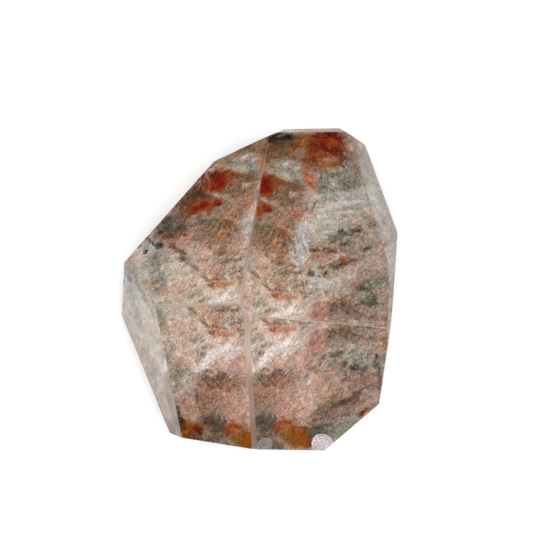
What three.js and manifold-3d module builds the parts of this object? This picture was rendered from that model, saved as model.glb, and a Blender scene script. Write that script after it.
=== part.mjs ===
// Garden quartz: a clear, hand-polished freeform crystal that lies on its flat base, with a bed of
// coloured mineral inclusions sealed low inside it. Millimetres and degrees. +X is the stone's
// right, +Y its top end, +Z up out of the base; the origin is the centre of the base.
import * as THREE from "three";
import { mergeVertices } from "three/addons/utils/BufferGeometryUtils.js";
import Module from "manifold-3d";

const wasm = await Module();
wasm.setup();

// Driving dimensions.

// The stone's outline at its widest, clockwise from the top edge: corner points in mm.
const GIRDLE = [
  [3.14, 19.77],
  [10.0, 20.1],
  [10.73, 19.63],
  [13.29, 18.11],
  [17.39, 6.98],
  [16.44, -3.31],
  [14.88, -14.41],
  [8.01, -20.1],
  [-0.69, -19.68],
  [-9.64, -18.51],
  [-11.24, -18.09],
  [-17.39, -3.42],
  [-16.82, 3.24],
  [-5.71, 15.76],
  [-5.07, 16.1],
];

const BLANK_HEIGHT = 30; // the prism that the facets are cut from
const FOOT_BEVEL_HEIGHT = 1.2; // ground edge around the base
const FOOT_BEVEL_LEAN = 45; // from upright

// The crown's four large facets meet at two points a little over a millimetre apart.
const APEX = [-2.44, -1.82, 25.33];
const SECOND_APEX = [-1.68, -3.12, 25.27];

// Each facet: its slope from level, the compass heading that it faces (from +X towards +Y), and a
// point that it passes through.
const FACETS = {
  crownUpperLeft: { slope: 38.6, heading: 138.5, through: APEX },
  crownUpperRight: { slope: 34.8, heading: 27.1, through: APEX },
  crownLowerLeft: { slope: 34.4, heading: 213.5, through: APEX },
  crownLowerRight: { slope: 32.4, heading: 330.9, through: SECOND_APEX },
  leftBevel: { slope: 67.1, heading: 197.4, through: [-12.83, -2.12, 19.27] },
  rightBevel: { slope: 64.0, heading: 19.9, through: [15.87, 3.69, 12.26] },
  rightRimUpper: { slope: 66.0, heading: 11.4, through: [16.21, -0.45, 13.37] },
  rightRimLower: { slope: 66.0, heading: 3.6, through: [16.21, -0.45, 13.37] },
  topBevel: { slope: 70.0, heading: 78.9, through: [6.51, 19.45, 13.08] },
  cornerChip: { slope: 62.0, heading: 129.5, through: [-5.46, 15.36, 14.43] },
  lowerRidgeFlat: { slope: 19.3, heading: 280.4, through: [-0.69, -18.65, 19.76] },
};

// The inclusion bed: a thin uneven mass that follows the outline a little way in.
const BED_FLOOR = 1.3; // clear quartz is left below it
const BED_TOP = 2.6; // mean height of its upper surface
const BED_RISE = 0.035; // it thickens towards the stone's top end, mm per mm
const BED_INSET = 0.85; // from the stone's outline
const BED_CENTRE = [0.5, -1.0];
const BED_RINGS = 12;
const BED_SPOKES = 80;

// Swells and hollows in the bed: centre x, y, height and reach, mm.
const SWELLS = [
  [6.5, 13.5, 0.6, 3.4], // rust-red mass at the top end
  [-6.0, 9.5, 0.5, 2.8], // rust-red mass at the upper left
  [5.0, 6.0, -0.5, 3.6], // pale grey-green hollow
  [10.5, -1.5, 0.7, 3.0], // dark moss-green ridge at the right
  [-8.0, 0.5, 0.35, 3.5], // beige ledge
  [0.5, -3.5, -0.35, 2.2], // low notch under the apex
  [3.5, -9.5, 0.55, 4.2], // salmon swell, lower right
  [-6.0, -8.5, -0.4, 3.0], // hollow beside it
  [-3.5, -14.0, 0.5, 2.6], // grey-green tuft at the lower end
  [11.0, -10.0, 0.45, 2.6], // green specks, lower right
];

const CLEARANCE = 0.3; // between the bed and its pocket
const PARTING_HEIGHT = 1.9; // where the clear crystal is parted around the pocket
const PARTING_GAP = 0.3;

// Helpers.

const radians = THREE.MathUtils.degToRad;

function toSolid(geometry) {
  const plain = geometry.clone();
  plain.deleteAttribute("normal");
  plain.deleteAttribute("uv");
  const merged = mergeVertices(plain, 1e-4);
  return new wasm.Manifold(
    new wasm.Mesh({
      numProp: 3,
      vertProperties: new Float32Array(merged.attributes.position.array),
      triVerts: new Uint32Array(merged.index.array),
    }),
  );
}

function toGeometry(solid) {
  const mesh = solid.getMesh();
  const geometry = new THREE.BufferGeometry();
  geometry.setAttribute("position", new THREE.BufferAttribute(mesh.vertProperties, 3));
  geometry.setIndex(new THREE.BufferAttribute(mesh.triVerts, 1));
  const shaded = geometry.toNonIndexed();
  shaded.computeVertexNormals();
  return shaded;
}

// Everything on the outer side of a facet, as a large block whose inner face lies on the facet.
function outsideOf({ slope, heading, through }) {
  const size = 120;
  const block = new THREE.BoxGeometry(size, size, size);
  block.translate(0, 0, size / 2);
  block.rotateY(radians(slope));
  block.rotateZ(radians(heading));
  block.translate(...through);
  return toSolid(block);
}

function outlineShape(points) {
  const shape = new THREE.Shape();
  points.forEach(([x, y], i) => (i === 0 ? shape.moveTo(x, y) : shape.lineTo(x, y)));
  return shape;
}

// The facets of the ground edge around the base, one under each side of the outline.
function footFacets() {
  return GIRDLE.map(([x0, y0], i) => {
    const [x1, y1] = GIRDLE[(i + 1) % GIRDLE.length];
    const outward = THREE.MathUtils.radToDeg(Math.atan2(y1 - y0, x1 - x0)) + 90;
    return {
      slope: 90 + FOOT_BEVEL_LEAN,
      heading: outward,
      through: [x0, y0, FOOT_BEVEL_HEIGHT],
    };
  });
}

// Distance from the bed's centre to the outline, set in by an amount, along an angle.
function reachAt(angle, inset) {
  const direction = [Math.cos(angle), Math.sin(angle)];
  let reach = Infinity;
  GIRDLE.forEach(([x0, y0], i) => {
    const [x1, y1] = GIRDLE[(i + 1) % GIRDLE.length];
    const length = Math.hypot(x1 - x0, y1 - y0);
    const normal = [-(y1 - y0) / length, (x1 - x0) / length];
    const towards = normal[0] * direction[0] + normal[1] * direction[1];
    const distance =
      normal[0] * (x0 - BED_CENTRE[0]) + normal[1] * (y0 - BED_CENTRE[1]) - inset;
    if (towards > 1e-6) {
      reach = Math.min(reach, distance / towards);
    }
  });
  return reach;
}

// How far the bed's ragged rim draws back from the set-in outline.
function rimDrawback(angle) {
  return 0.15 + 0.1 * Math.sin(5 * angle + 0.6) + 0.05 * Math.sin(11 * angle + 2.1);
}

function bedTop(x, y) {
  let height = BED_TOP + BED_RISE * y;
  for (const [cx, cy, swell, reach] of SWELLS) {
    const distance = Math.hypot(x - cx, y - cy);
    height += swell * Math.exp(-0.5 * (distance / reach) ** 2);
  }
  return height;
}

// The bed as rings of points around its centre, grown by an amount on every side.
function bedSolid(grow) {
  const positions = [];
  const triangles = [];
  const rows = [];
  const addRing = (fraction, heightAt) => {
    const row = [];
    for (let s = 0; s < BED_SPOKES; s += 1) {
      const angle = (2 * Math.PI * s) / BED_SPOKES;
      const rim = reachAt(angle, BED_INSET) - rimDrawback(angle) + grow;
      const x = BED_CENTRE[0] + rim * fraction * Math.cos(angle);
      const y = BED_CENTRE[1] + rim * fraction * Math.sin(angle);
      row.push(positions.length / 3);
      positions.push(x, y, heightAt(x, y, fraction));
    }
    rows.push(row);
  };
  const top = (x, y, fraction) => bedTop(x, y) - 0.35 * fraction ** 8 + 1.1 * grow;
  const floor = () => BED_FLOOR - grow;

  const topCentre = 0;
  positions.push(BED_CENTRE[0], BED_CENTRE[1], top(BED_CENTRE[0], BED_CENTRE[1], 0));
  for (let r = 1; r <= BED_RINGS; r += 1) {
    addRing(r / BED_RINGS, top);
  }
  addRing(1, floor);
  const floorCentre = positions.length / 3;
  positions.push(BED_CENTRE[0], BED_CENTRE[1], floor());

  for (let s = 0; s < BED_SPOKES; s += 1) {
    const next = (s + 1) % BED_SPOKES;
    triangles.push(topCentre, rows[0][s], rows[0][next]);
    for (let r = 0; r + 1 < rows.length; r += 1) {
      const inner = rows[r];
      const outer = rows[r + 1];
      triangles.push(inner[s], outer[s], outer[next]);
      triangles.push(inner[s], outer[next], inner[next]);
    }
    const last = rows[rows.length - 1];
    triangles.push(floorCentre, last[next], last[s]);
  }

  const geometry = new THREE.BufferGeometry();
  geometry.setAttribute("position", new THREE.Float32BufferAttribute(positions, 3));
  geometry.setIndex(triangles);
  return toSolid(geometry);
}

function slabBetween(low, high) {
  const slab = new THREE.BoxGeometry(60, 60, high - low);
  slab.translate(0, 0, (low + high) / 2);
  return toSolid(slab);
}

// The crystal.

const blank = new THREE.ExtrudeGeometry(outlineShape([...GIRDLE].reverse()), {
  depth: BLANK_HEIGHT,
  bevelEnabled: false,
});

let crystal = toSolid(blank);
for (const facet of [...Object.values(FACETS), ...footFacets()]) {
  crystal = crystal.subtract(outsideOf(facet));
}

const bed = bedSolid(0);
const pocket = bedSolid(CLEARANCE);
const upperHalf = crystal
  .intersect(slabBetween(PARTING_HEIGHT + PARTING_GAP / 2, BLANK_HEIGHT))
  .subtract(pocket);
const lowerHalf = crystal
  .intersect(slabBetween(-1, PARTING_HEIGHT - PARTING_GAP / 2))
  .subtract(pocket);

// The scene.

const clearQuartz = { color: 0xeef0ee, roughness: 0.04, metalness: 0, transparent: true, opacity: 0.3 };

const quartzUpper = new THREE.Mesh(
  toGeometry(upperHalf),
  new THREE.MeshStandardMaterial(clearQuartz),
);
quartzUpper.name = "quartz_upper";

const quartzLower = new THREE.Mesh(
  toGeometry(lowerHalf),
  new THREE.MeshStandardMaterial(clearQuartz),
);
quartzLower.name = "quartz_lower";

const inclusionBed = new THREE.Mesh(
  toGeometry(bed),
  new THREE.MeshStandardMaterial({ color: 0xb08f7e, roughness: 0.85, metalness: 0 }),
);
inclusionBed.name = "inclusion_bed";

const gardenQuartz = new THREE.Group();
gardenQuartz.add(quartzUpper, quartzLower, inclusionBed);

export default gardenQuartz;
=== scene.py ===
"""Garden quartz: a clear polished freeform crystal with a bed of coloured minerals inside it.

Lengths are in millimetres and become metres in the meshes. +X is the stone's right, +Y its top end,
+Z up out of its flat base. Angles are in degrees up to the point where they are used.
"""

import bmesh
import bpy
import numpy as np
from mathutils import Matrix, Vector


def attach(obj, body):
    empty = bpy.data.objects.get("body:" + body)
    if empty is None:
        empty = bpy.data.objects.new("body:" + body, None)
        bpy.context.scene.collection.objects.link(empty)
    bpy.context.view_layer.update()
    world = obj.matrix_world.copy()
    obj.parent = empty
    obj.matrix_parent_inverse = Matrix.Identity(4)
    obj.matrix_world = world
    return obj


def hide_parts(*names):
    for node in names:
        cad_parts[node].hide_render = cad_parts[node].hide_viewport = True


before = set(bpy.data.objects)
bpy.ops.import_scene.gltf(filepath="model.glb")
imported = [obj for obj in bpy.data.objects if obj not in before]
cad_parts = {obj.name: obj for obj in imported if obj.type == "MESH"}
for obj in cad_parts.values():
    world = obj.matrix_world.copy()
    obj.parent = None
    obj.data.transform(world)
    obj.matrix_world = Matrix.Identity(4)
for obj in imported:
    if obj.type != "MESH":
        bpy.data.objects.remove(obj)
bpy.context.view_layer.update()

MM = 0.001

# The crystal's cut, with the same values as in the part's source: the outline's corners, clockwise.
GIRDLE = [
    (3.14, 19.77), (10.0, 20.1), (10.73, 19.63), (13.29, 18.11), (17.39, 6.98),
    (16.44, -3.31), (14.88, -14.41), (8.01, -20.1), (-0.69, -19.68), (-9.64, -18.51),
    (-11.24, -18.09), (-17.39, -3.42), (-16.82, 3.24), (-5.71, 15.76), (-5.07, 16.1),
]
BLANK_HEIGHT = 30.0  # the prism that the facets are cut from
FOOT_BEVEL_HEIGHT = 1.2  # the ground edge around the base, at 45 degrees
APEX = (-2.44, -1.82, 25.33)
SECOND_APEX = (-1.68, -3.12, 25.27)

# Facets: slope from level, heading from +X towards +Y, a point on the facet.
UPPER_LEFT = (38.6, 138.5, APEX)
UPPER_RIGHT = (34.8, 27.1, APEX)
LOWER_LEFT = (34.4, 213.5, APEX)
LOWER_RIGHT = (32.4, 330.9, SECOND_APEX)
FACETS = [
    UPPER_LEFT,
    UPPER_RIGHT,
    LOWER_LEFT,
    LOWER_RIGHT,
    (67.1, 197.4, (-12.83, -2.12, 19.27)),  # left bevel
    (64.0, 19.9, (15.87, 3.69, 12.26)),  # right bevel
    (66.0, 11.4, (16.21, -0.45, 13.37)),  # right rim, upper
    (66.0, 3.6, (16.21, -0.45, 13.37)),  # right rim, lower
    (70.0, 78.9, (6.51, 19.45, 13.08)),  # top bevel
    (62.0, 129.5, (-5.46, 15.36, 14.43)),  # corner chip
]
BEVEL_SLOPE = 50  # facets steeper than this are bevels, which were left finely ground

# The flat along the lower ridge, and the wear that goes a little deeper into it.
LOWER_RIDGE_FLATS = [(19.3, 280.4, (-0.69, -18.65, 19.76)), (18.9, 283.5, (-1.54, -10.10, 22.76))]

# Ridges worn round by narrow flats: the facets on both sides, where it begins, the width there, the
# width at WORN_LENGTH further down, and the number of flats.
WORN_RIDGES = [
    (UPPER_LEFT, UPPER_RIGHT, APEX, 0.62, 0.2, 5),
    (UPPER_LEFT, LOWER_LEFT, APEX, 0.5, 0.3, 5),
    (UPPER_RIGHT, LOWER_RIGHT, SECOND_APEX, 0.19, 0.17, 1),
]
WORN_LENGTH = 15.0
EDGE_ROUND = 0.055
SHORTEST_ROUNDED_EDGE = 0.3

# Quartz: its refraction, and each finish as name, colour and roughness.
QUARTZ_IOR = 1.544
POLISHED, WORN, GROUND = 0, 1, 2
FINISHES = [
    ("clear_quartz", (0.985, 0.985, 0.98), 0.015),
    ("worn_quartz", (0.88, 0.81, 0.76), 0.42),
    # the ground finish's grey colour is painted shade that darkens the steep bevels
    ("ground_and_shaded_quartz", (0.62, 0.64, 0.62), 0.1),
]

# The mineral bed: heights, its distance from the outline, the mesh's cells across, and the rows of
# cells down its rim.
BED_FLOOR = 1.3
BED_TOP = 2.6
BED_RISE = 0.035
BED_INSET = 0.3
BED_CENTRE = (0.5, -1.0)
BED_CELLS = 296
BED_RIM_ROWS = 8
BED_UNDERCUT = 0.9  # how far the rim draws in towards the bed's floor
BED_FARTHEST_RIM = 20.0

# Swells and hollows: centre x, y, height, reach.
SWELLS = [
    (6.5, 13.5, 0.6, 3.4), (-6.0, 9.5, 0.5, 2.8), (5.0, 6.0, -0.5, 3.6), (10.5, -1.5, 0.7, 3.0),
    (-8.0, 0.5, 0.35, 3.5), (0.5, -3.5, -0.35, 2.2), (3.5, -9.5, 0.55, 4.2), (-6.0, -8.5, -0.4, 3.0),
    (-3.5, -14.0, 0.5, 2.6), (11.0, -10.0, 0.45, 2.6),
]

# The painting goes down through the bed on a slant: at this height it lies as PATCHES says, and it
# shifts this far to the left for each millimetre up.
PAINTED_AT = 2.4
PAINT_SLANT = 0.6

# The white feather: its spine from the lower end up, and its threads' mean width, direction and
# colours as they look.
FEATHER_THREADS = 2300
FEATHER_SPINE = [(3.6, 2.4, 14), (3.8, 4.0, 14), (4.1, 5.5, 14), (4.7, 7.0, 14), (5.2, 8.3, 14)]
FEATHER_WIDTH = 0.085
FEATHER_TURN = 100
FEATHER_COLOURS = [(255, 252, 250), (255, 250, 246), (250, 244, 240), (236, 226, 220), (120, 100, 92)]

# Round fractures with faint rings of painted iridescent reflection, just under the lower right facet at
# the lower end:
# centre x, y, radius, colour, and the direction in which their painted rings show.
RING_FRACTURES = [
    (0.54, -19.1, 0.9, (0.52, 0.49, 0.47), 70),
    (7.6, -19.25, 1.35, (0.86, 0.8, 0.8), 140),
]
RING_DEPTH = 0.5
RING_THICKNESS = 0.04
RING_WALL_GAP = 0.12

# Light in the bed: how much of it leaves the crystal, how much goes from grain to grain, and the
# pale veil that the crystal's own faces add, as linear red, green and blue.
LIGHT_OUT = np.array([0.705, 0.68, 0.67])
BETWEEN_GRAINS = 0.6
VEIL = np.array([0.003, 0.011, 0.012])

# The studio: the floor, the sky as (height from 0 at the horizon to 1 overhead, level), the heights
# between which it grows brighter, and the lamps as heading, elevation, distance in metres, size in
# metres and power.
FLOOR_HALF = 900
FLOOR_GAP = 0.05
SKY = [
    (0.0, 1.0), (0.1, 0.85), (0.2, 0.07), (0.38, 0.07), (0.43, 0.55),
    (0.52, 0.55), (0.6, 0.16), (0.72, 0.16), (0.84, 1.0), (1.0, 1.0),
]
OVERHEAD = {"From Min": 0.72, "From Max": 0.84, "To Min": 1.0, "To Max": 4.2}
LAMPS = [("softbox_right", 0, 30, 0.7, 0.3, 2.2), ("softbox_left", 174, 30, 0.7, 0.45, 1.0)]
CAMERA_PLACE = (0.843, 2.726, 425.1)
CAMERA_SENSOR = 36
CAMERA_LENS = 223.5

# Noise.


def lattice(i, j, seed):
    """A fixed pseudo-random value from 0 to 1 at each whole-number grid point."""
    n = i.astype(np.uint64) * np.uint64(374761393) + j.astype(np.uint64) * np.uint64(668265263)
    n = (n + np.uint64(seed * 974634777 + 12345)) & np.uint64(0xFFFFFFFF)
    n = ((n ^ (n >> np.uint64(13))) * np.uint64(1274126177)) & np.uint64(0xFFFFFFFF)
    n = ((n ^ (n >> np.uint64(15))) * np.uint64(2246822519)) & np.uint64(0xFFFFFFFF)
    return ((n ^ (n >> np.uint64(16))) & np.uint64(0xFFFFFF)).astype(float) / 0xFFFFFF


def smooth_noise(x, y, seed):
    """Value noise with cells of one unit, from 0 to 1."""
    i, j = np.floor(x), np.floor(y)
    u, v = x - i, y - j
    u, v = u * u * (3 - 2 * u), v * v * (3 - 2 * v)
    i, j = (i + 4096).astype(np.int64), (j + 4096).astype(np.int64)
    low = lattice(i, j, seed) * (1 - u) + lattice(i + 1, j, seed) * u
    high = lattice(i, j + 1, seed) * (1 - u) + lattice(i + 1, j + 1, seed) * u
    return low * (1 - v) + high * v


def cloud(x, y, size, seed, octaves=4, gain=0.55):
    """Layered noise centred on 0, whose largest lumps are about `size` mm across."""
    total, weight, amount = 0.0, 0.0, 1.0
    turn_c, turn_s = 0.8, 0.6
    x, y = x / size + 17.3 * seed, y / size - 9.1 * seed
    for k in range(octaves):
        total = total + amount * (smooth_noise(x, y, seed + k) - 0.5)
        weight += amount
        amount *= gain
        x, y = 2.03 * (turn_c * x - turn_s * y) + 5.2, 2.03 * (turn_s * x + turn_c * y) - 3.7
    return total / weight


def step(low, high, value):
    """0 below `low`, 1 above `high`, and a smooth rise between them."""
    t = np.clip((value - low) / (high - low), 0, 1)
    return t * t * (3 - 2 * t)


def turned(x, y, angle):
    """Each point's places along and across a direction, whose angle is in radians."""
    c, s = np.cos(angle), np.sin(angle)
    return c * x + s * y, c * y - s * x


# The painting of the bed.

# Mineral colours: red, green and blue as they look through the crystal, then how thickly dark,
# rust-red and pale specks lie in it, in hundredths.
INK = {
    "black": (44, 38, 38, 35, 0, 0), "teal": (36, 50, 55, 30, 0, 0),
    "umber": (78, 57, 45, 30, 8, 0), "moss": (98, 92, 76, 36, 4, 6),
    "green": (133, 130, 110, 28, 3, 8), "sage": (163, 154, 137, 13, 3, 10),
    "mist": (185, 173, 159, 5, 3, 8), "white": (228, 218, 212, 4, 2, 20),
    "lilac": (197, 180, 173, 5, 3, 14), "cream": (194, 170, 150, 4, 5, 8),
    "beige": (183, 156, 137, 10, 8, 10), "pink": (188, 148, 132, 6, 8, 10),
    "salmon": (181, 139, 120, 6, 10, 10), "rose": (170, 123, 107, 10, 12, 6),
    "clay": (160, 122, 101, 18, 16, 8), "taupe": (148, 127, 110, 18, 5, 8),
    "tan": (142, 108, 84, 22, 18, 5), "olive": (121, 98, 70, 28, 12, 3),
    "brown": (108, 82, 66, 30, 12, 3), "red": (100, 20, 2, 12, 4, 0),
    "rust": (136, 56, 20, 16, 12, 0), "ember": (158, 82, 38, 14, 14, 1),
    "orange": (172, 94, 57, 12, 22, 3), "coral": (180, 118, 96, 14, 20, 6),
    "amber": (150, 76, 6, 12, 6, 0), "yellow": (140, 108, 44, 20, 8, 0),
    "maroon": (72, 26, 18, 16, 6, 0), "mauve": (150, 118, 110, 12, 6, 6),
}

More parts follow.
